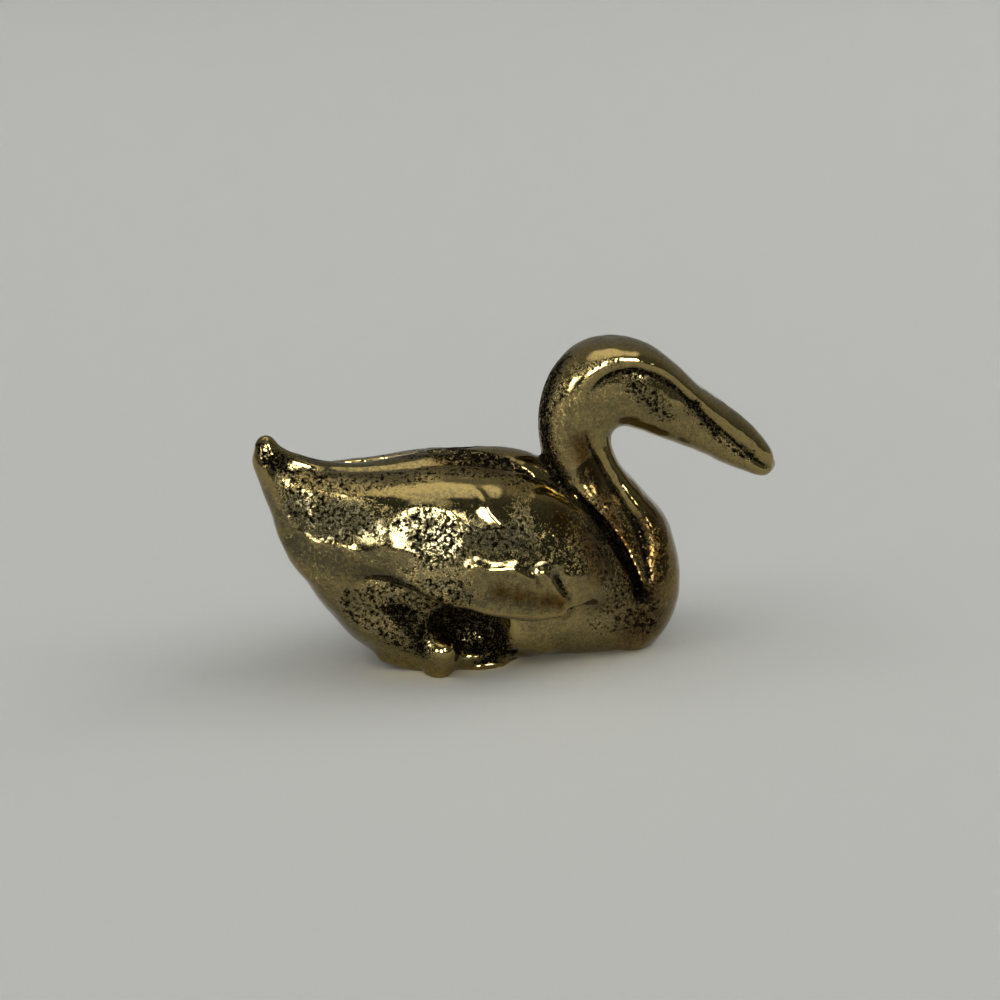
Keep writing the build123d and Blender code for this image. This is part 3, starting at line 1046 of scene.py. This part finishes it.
@dataclass(frozen=True)
class AgedBrass:
    """Worn brass with brown-black patina and painted shade, pits and rubbed gold, on Object coordinates.

    A ramp says what a mask or a noise does. Heights are millimetres of bump.
    """

    bright: Colour = (0.32, 0.245, 0.095)
    dull: Colour = (0.105, 0.092, 0.05)
    patina: Colour = (0.006, 0.0045, 0.0025)
    umber: Colour = (0.42, 0.27, 0.12)
    polish: float = 0.035
    dull_polish: float = 0.075
    grime: float = 0.4
    broad: Noise = Noise(0.14, 3.0)
    clouds: Noise = Noise(0.6, 6.0, 0.6)
    patches: Noise = Noise(1.7, 9.0, 0.7)
    specks: Noise = Noise(4.0, 4.0, 0.65)
    grain: Noise = Noise(9.0, 3.0, 0.6)
    holes: Ramp = Ramp(0.0, 1.0, 0.70, 0.47)
    dots: Ramp = Ramp(0.0, 0.8, 0.70, 0.54)
    pit_edge: float = 12.0
    broad_rubbing: Ramp = Ramp(0.4, 0.65, 0.0, 0.3)
    patchy_tone: Ramp = Ramp(0.38, 0.62, 0.0, 0.5)
    speckled_tone: Ramp = Ramp(0.36, 0.62, 0.0, 0.45)
    rubbed_tone: float = 0.5
    clouded_brown: Ramp = Ramp(0.3, 0.6, 0.5, 1.0)
    clouded_patina: Ramp = Ramp(0.5, 0.8, -0.1, 0.25)
    speckled_patina: Ramp = Ramp(0.35, 0.65, -0.35, 0.35)
    patchy_patina: Ramp = Ramp(0.35, 0.65, -0.3, 0.3)
    crumbling: Ramp = Ramp(0.05, 0.5)
    covering: Ramp = Ramp(0.25, 0.85)
    pit_depth: float = 0.03
    grain_height: float = 0.002
    cloud_height: float = 0.014
    speck_height: Ramp = Ramp(0.0, 0.6, 0.003, 0.012)

    def build(self) -> bpy.types.Material:
        """Makes the material.

        Returns:
            One material, for every casting.
        """
        material = bpy.data.materials.new("aged_brass")
        material.use_nodes = True
        tree = material.node_tree
        tree.nodes.clear()
        shade = Shader(tree)
        patterns = self.patterns(shade)
        pitted = self.pitted(shade, patterns)
        tone = self.tone(shade, patterns)
        dark = shade.math("MAXIMUM", pitted, self.covered_by_patina_and_shade(shade, patterns))
        colour = shade.blend(dark, self.metal(shade, patterns, tone), self.patina)
        rough = shade.total(shade.span(tone, Ramp(0.0, 1.0, self.dull_polish, self.polish)),
                            shade.math("MULTIPLY", dark, self.grime - self.polish))
        bump = shade.node("Bump", Strength=1.0, Distance=MM, Height=self.height(shade, patterns, pitted))
        surface = shade.node("BsdfPrincipled", Base_Color=colour, Roughness=rough, Normal=bump.outputs[0])
        shade.feed(surface.inputs["Metallic"], shade.math("SUBTRACT", 1.0, dark, clamp=True))
        surface.inputs["Specular IOR Level"].default_value = 0.0
        output = shade.node("OutputMaterial")
        shade.feed(output.inputs["Surface"], surface.outputs[0])
        return material

    def patterns(self, shade: Shader) -> Patterns:
        """Lays the noises on Object coordinates in millimetres.

        Args:
            shade: The material's nodes.

        Returns:
            The noises.
        """
        scaled = shade.node("VectorMath")
        scaled.operation = "SCALE"
        shade.feed(scaled.inputs[0], shade.node("TexCoord").outputs["Object"])
        scaled.inputs["Scale"].default_value = 1 / MM
        place = scaled.outputs[0]
        return Patterns(
            broad=shade.noise(place, self.broad),
            clouds=shade.noise(place, self.clouds),
            patches=shade.noise(place, self.patches),
            specks=shade.noise(place, self.specks),
            grain=shade.noise(place, self.grain),
        )

    def pitted(self, shade: Shader, patterns: Patterns) -> Socket:
        """Where the casting is pitted: ragged holes, and fine dots round them.

        Args:
            shade: The material's nodes.
            patterns: The noises.

        Returns:
            The depth of a pit, from 0 to 1.
        """
        pits = shade.mask(Mask.PITS)
        holes = shade.math("SUBTRACT", patterns.patches, shade.span(pits, self.holes))
        dots = shade.math("SUBTRACT", patterns.specks, shade.span(pits, self.dots))
        return shade.math("MULTIPLY", shade.math("MAXIMUM", holes, dots), self.pit_edge, clamp=True)

    def tone(self, shade: Shader, patterns: Patterns) -> Socket:
        """How bright the metal is, with its fine mottling.

        Args:
            shade: The material's nodes.
            patterns: The noises.

        Returns:
            The tone, from 0 where it is dull to 1 where it is rubbed.
        """
        rubbed = shade.total(shade.mask(Mask.RUBBED), shade.span(patterns.broad, self.broad_rubbing))
        mottle = shade.total(shade.span(patterns.patches, self.patchy_tone),
                             shade.span(patterns.specks, self.speckled_tone))
        return shade.math("ADD", mottle, shade.math("MULTIPLY", rubbed, self.rubbed_tone), clamp=True)

    def metal(self, shade: Shader, patterns: Patterns, tone: Socket) -> Socket:
        """The colour of the bare metal, tinted brown where its mask says so, in one place as a painted
        reflection.

        Args:
            shade: The material's nodes.
            patterns: The noises.
            tone: How bright the metal is.

        Returns:
            The colour.
        """
        browned = shade.math("MULTIPLY", shade.mask(Mask.BROWN),
                             shade.span(patterns.clouds, self.clouded_brown))
        tint = shade.node("Mix")
        tint.data_type = "RGBA"
        tint.blend_type = "MULTIPLY"
        shade.feed(tint.inputs[0], browned)
        shade.feed(tint.inputs[6], shade.blend(tone, self.dull, self.bright))
        shade.feed(tint.inputs[7], (*self.umber, 1.0))
        return tint.outputs[2]

    def covered_by_patina_and_shade(self, shade: Shader, patterns: Patterns) -> Socket:
        """Where the patina and the painted shade cover the metal; their edges crumble into specks.

        Args:
            shade: The material's nodes.
            patterns: The noises.

        Returns:
            The share of the metal that is covered.
        """
        tarnish_and_shade = shade.mask(Mask.PATINA_AND_SHADE)
        crumbs = shade.total(shade.span(patterns.specks, self.speckled_patina),
                             shade.span(patterns.patches, self.patchy_patina))
        crumbled = shade.math("MULTIPLY", crumbs, shade.span(tarnish_and_shade, self.crumbling))
        clouded = shade.span(patterns.clouds, self.clouded_patina)
        return shade.span(shade.total(tarnish_and_shade, clouded, crumbled), self.covering)

    def height(self, shade: Shader, patterns: Patterns, pitted: Socket) -> Socket:
        """The bump: pits, grain, soft unevenness, and more roughness where the casting is pitted.

        Args:
            shade: The material's nodes.
            patterns: The noises.
            pitted: The depth of a pit.

        Returns:
            The height in millimetres.
        """
        return shade.total(
            shade.math("MULTIPLY", pitted, -self.pit_depth),
            shade.math("MULTIPLY", patterns.grain, self.grain_height),
            shade.math("MULTIPLY", patterns.clouds, self.cloud_height),
            shade.math("MULTIPLY", patterns.specks, shade.span(shade.mask(Mask.PITS), self.speck_height)),
        )


@dataclass
class Duck:
    """The six castings, sculpted as one skin and cut apart at their joints, in millimetres and degrees."""

    viewpoint: Viewpoint
    voxel: float = 0.24
    first_smoothing: int = 3
    foot_margin: float = 0.12
    crisp_angle: float = 50.0
    joints: Joints = field(default_factory=Joints)

    def build(self) -> None:
        """Makes, dresses and reports every casting."""
        skin = Skin(self.voxel)
        skin.smooth(self.first_smoothing)
        sculptor = Sculptor(skin, self.viewpoint)
        for trail in EASED:
            sculptor.ease(trail)
        skin.refresh()
        for mark in DABS:
            sculptor.dab(mark)
        for line in STROKES:
            sculptor.stroke(line)
        skin.refresh()
        for trail in SOFTENED:
            sculptor.ease(trail)
        skin.refresh()
        for relief in RELIEF:
            sculptor.roughen(relief)
        skin.hold()
        skin.refresh()
        sculptor.aim()
        painter = Painter(sculptor)
        painter.hollows()
        for mark in MASK_TRAILS:
            painter.lay_trail(mark)
        self.finish_castings(self.part(skin.mesh), painter)

    def part(self, whole: bpy.types.Mesh) -> dict[Node, bpy.types.Mesh]:
        """Cuts the skin into its castings.

        Args:
            whole: The sculpted skin.

        Returns:
            One closed mesh for each node.
        """
        shares = {}
        wing = self.joints.wing_zone()
        foot = self.joints.foot_zone(self.foot_margin, self.voxel)
        steps = (
            (Node.HEAD, self.joints.neck_zone()),
            (Node.RIGHT_WING, wing),
            (Node.LEFT_WING, mirrored(wing)),
            (Node.RIGHT_FOOT, foot),
            (Node.LEFT_FOOT, mirrored(foot)),
        )
        for node, cutter in steps:
            shares[node], whole = parted(whole, cutter)
        shares[Node.BODY] = whole
        return shares

    def finish_castings(self, shares: dict[Node, bpy.types.Mesh], painter: Painter) -> None:
        """Lays the masks on the castings, brings them to metres and hangs them on the frame.

        Args:
            shares: The castings, in millimetres.
            painter: Who holds the masks.
        """
        finish = AgedBrass().build()
        for node, mesh in shares.items():
            painter.lay_masks(mesh)
            casting = bmesh.new()
            casting.from_mesh(mesh)
            bmesh.ops.scale(casting, vec=(MM, MM, MM), verts=casting.verts)
            casting.to_mesh(mesh)
            casting.free()
            mesh.name = node.value + "_casting"
            mesh.shade_smooth()
            mesh.set_sharp_from_angle(angle=math.radians(self.crisp_angle))
            mesh.materials.clear()
            mesh.materials.append(finish)
            piece = bpy.data.objects.new(node.value + "_casting", mesh)
            bpy.context.scene.collection.objects.link(piece)
            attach(piece, "root")
            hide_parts(node.value)
            LOG.info("%s: %d faces", piece.name, len(mesh.polygons))


@dataclass(frozen=True)
class Window:
    """A bright patch of the room: its place and size in degrees, and the watts of one that is a lamp."""

    turn: float
    lift: float
    wide: float
    high: float
    power: float = 0.0

    def away(self) -> Vector:
        """The direction from the duck to the window's middle.

        Returns:
            A unit vector.
        """
        heading = math.radians(self.turn)
        height = math.radians(self.lift)
        level = math.cos(height)
        return Vector((math.sin(heading) * level, -math.cos(heading) * level, math.sin(height)))


@dataclass(frozen=True)
class Ceiling:
    """A round pale patch overhead, which leans away from the camera by degrees.

    Its edge is given in cosines from its middle.
    """

    lean: float
    edge: Ramp

    def middle(self) -> Vector:
        """The direction of its middle."""
        angle = math.radians(self.lean)
        return Vector((0.0, math.sin(angle), math.cos(angle)))


class Studio:
    """A plain pale floor, a dim room and soft windows."""

    FLOOR_TONE = (0.50, 0.505, 0.48)
    FLOOR_REACH = 3.0
    FLOOR_ROUGHNESS = 0.8
    FLOOR_SHEEN = 0.2
    SOFT_CEILING = Ceiling(6.0, Ramp(0.60, 0.94))
    SOFT_TONE = (1.0, 1.0, 0.985)
    DIM_TONE = (0.06, 0.06, 0.06)
    MIRRORED_CEILING = Ceiling(-3.0, Ramp(0.82, 0.92))
    WARM_TONE = (1.45, 1.4, 1.25)
    FAR_TONE = (0.26, 0.26, 0.25)
    NEAR_TONE = (0.115, 0.12, 0.115)
    NEAR_WALL = Ramp(-0.5, 0.6)
    GLARE = (28.0, 28.0, 27.0)
    PANE_BLUR = 0.02
    LAMP_GAP = 2.5
    LAMP_AIM = Vector((0.0, 0.0, 0.02))
    PANES = (
        Window(-11.5, 21.0, 22.0, 25.0),
        Window(-50.0, 17.0, 10.0, 16.0),
        Window(23.0, 29.0, 10.0, 22.0),
    )
    LAMPS = (
        Window(-13.0, 21.0, 26.0, 25.0, 6.0),
        Window(90.0, 38.0, 45.0, 35.0, 30.0),
        Window(-95.0, 42.0, 45.0, 40.0, 22.0),
    )

    def build(self) -> None:
        """Makes the floor, the lamps and the room's light."""
        self.floor()
        self.room()
        self.lamps()

    def floor(self) -> None:
        """The surface that the duck stands on."""
        sheet = bmesh.new()
        bmesh.ops.create_grid(sheet, x_segments=2, y_segments=2, size=self.FLOOR_REACH)
        mesh = bpy.data.meshes.new("floor")
        sheet.to_mesh(mesh)
        sheet.free()
        material = bpy.data.materials.new("pale_floor")
        material.use_nodes = True
        surface = material.node_tree.nodes["Principled BSDF"]
        surface.inputs["Base Color"].default_value = (*self.FLOOR_TONE, 1.0)
        surface.inputs["Roughness"].default_value = self.FLOOR_ROUGHNESS
        surface.inputs["Specular IOR Level"].default_value = self.FLOOR_SHEEN
        mesh.materials.append(material)
        piece = bpy.data.objects.new("floor", mesh)
        bpy.context.scene.collection.objects.link(piece)
        piece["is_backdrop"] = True

    def room(self) -> None:
        """The soft light overhead, and the dim walls, warm ceiling and panes that the brass mirrors."""
        world = bpy.data.worlds.new("room")
        bpy.context.scene.world = world
        world.use_nodes = True
        tree = world.node_tree
        tree.nodes.clear()
        shade = Shader(tree)
        direction = shade.node("TexCoord").outputs["Generated"]
        near = shade.math("MULTIPLY", shade.node("SeparateXYZ", Vector=direction).outputs["Y"], -1.0)
        mirrored_room = shade.blend(shade.span(near, self.NEAR_WALL), self.FAR_TONE, self.NEAR_TONE)
        warm = self.overhead(shade, direction, self.MIRRORED_CEILING)
        mirrored_room = shade.blend(warm, mirrored_room, self.WARM_TONE)
        for window in self.PANES:
            mirrored_room = shade.blend(self.pane(shade, direction, window), mirrored_room, self.GLARE)
        soft = self.overhead(shade, direction, self.SOFT_CEILING)
        soft_light = shade.blend(soft, self.DIM_TONE, self.SOFT_TONE)
        mirrored = shade.node("LightPath").outputs["Is Glossy Ray"]
        colour = shade.blend(mirrored, soft_light, mirrored_room)
        background = shade.node("Background", Color=colour, Strength=1.0)
        output = shade.node("OutputWorld")
        shade.feed(output.inputs["Surface"], background.outputs[0])

    @staticmethod
    def overhead(shade: Shader, direction: Socket, ceiling: Ceiling) -> Socket:
        """How far a direction lies inside a pale patch overhead, from 0 to 1."""
        return shade.span(shade.dot(direction, ceiling.middle()), ceiling.edge)

    def pane(self, shade: Shader, direction: Socket, window: Window) -> Socket:
        """Whether a direction looks into a window.

        Args:
            shade: The world's nodes.
            direction: The direction that is looked in.
            window: The window.

        Returns:
            The share, from 0 to 1, with slightly soft edges.
        """
        ahead = window.away()
        right = ahead.cross(Vector((0.0, 0.0, 1.0))).normalized()
        inside = shade.math("GREATER_THAN", shade.dot(direction, ahead), 0.0)
        for side, size in ((right, window.wide), (right.cross(ahead), window.high)):
            half = math.sin(math.radians(0.5 * size))
            aside = shade.math("ABSOLUTE", shade.dot(direction, side))
            share = shade.span(aside, Ramp(half + self.PANE_BLUR, half - self.PANE_BLUR))
            inside = shade.math("MULTIPLY", inside, share)
        return inside

    def lamps(self) -> None:
        """The light that the room throws on the floor; the brass mirrors the panes instead."""
        for window in self.LAMPS:
            data = bpy.data.lights.new("lamp", "AREA")
            data.shape = "RECTANGLE"
            data.size = 2 * self.LAMP_GAP * math.tan(math.radians(0.5 * window.wide))
            data.size_y = 2 * self.LAMP_GAP * math.tan(math.radians(0.5 * window.high))
            data.energy = window.power
            lamp = bpy.data.objects.new("lamp", data)
            away = window.away()
            lamp.location = self.LAMP_AIM + away * self.LAMP_GAP
            lamp.rotation_mode = "QUATERNION"
            lamp.rotation_quaternion = away.to_track_quat("Z", "Y")
            lamp.visible_glossy = False
            bpy.context.scene.collection.objects.link(lamp)


def main() -> None:
    """Builds the duck and its studio."""
    logging.basicConfig(level=logging.INFO)
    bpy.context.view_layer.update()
    viewpoint = Viewpoint()
    viewpoint.build()
    Studio().build()
    Duck(viewpoint).build()
    bpy.context.scene.view_settings.view_transform = "Standard"


if __name__ == "__main__":
    main()
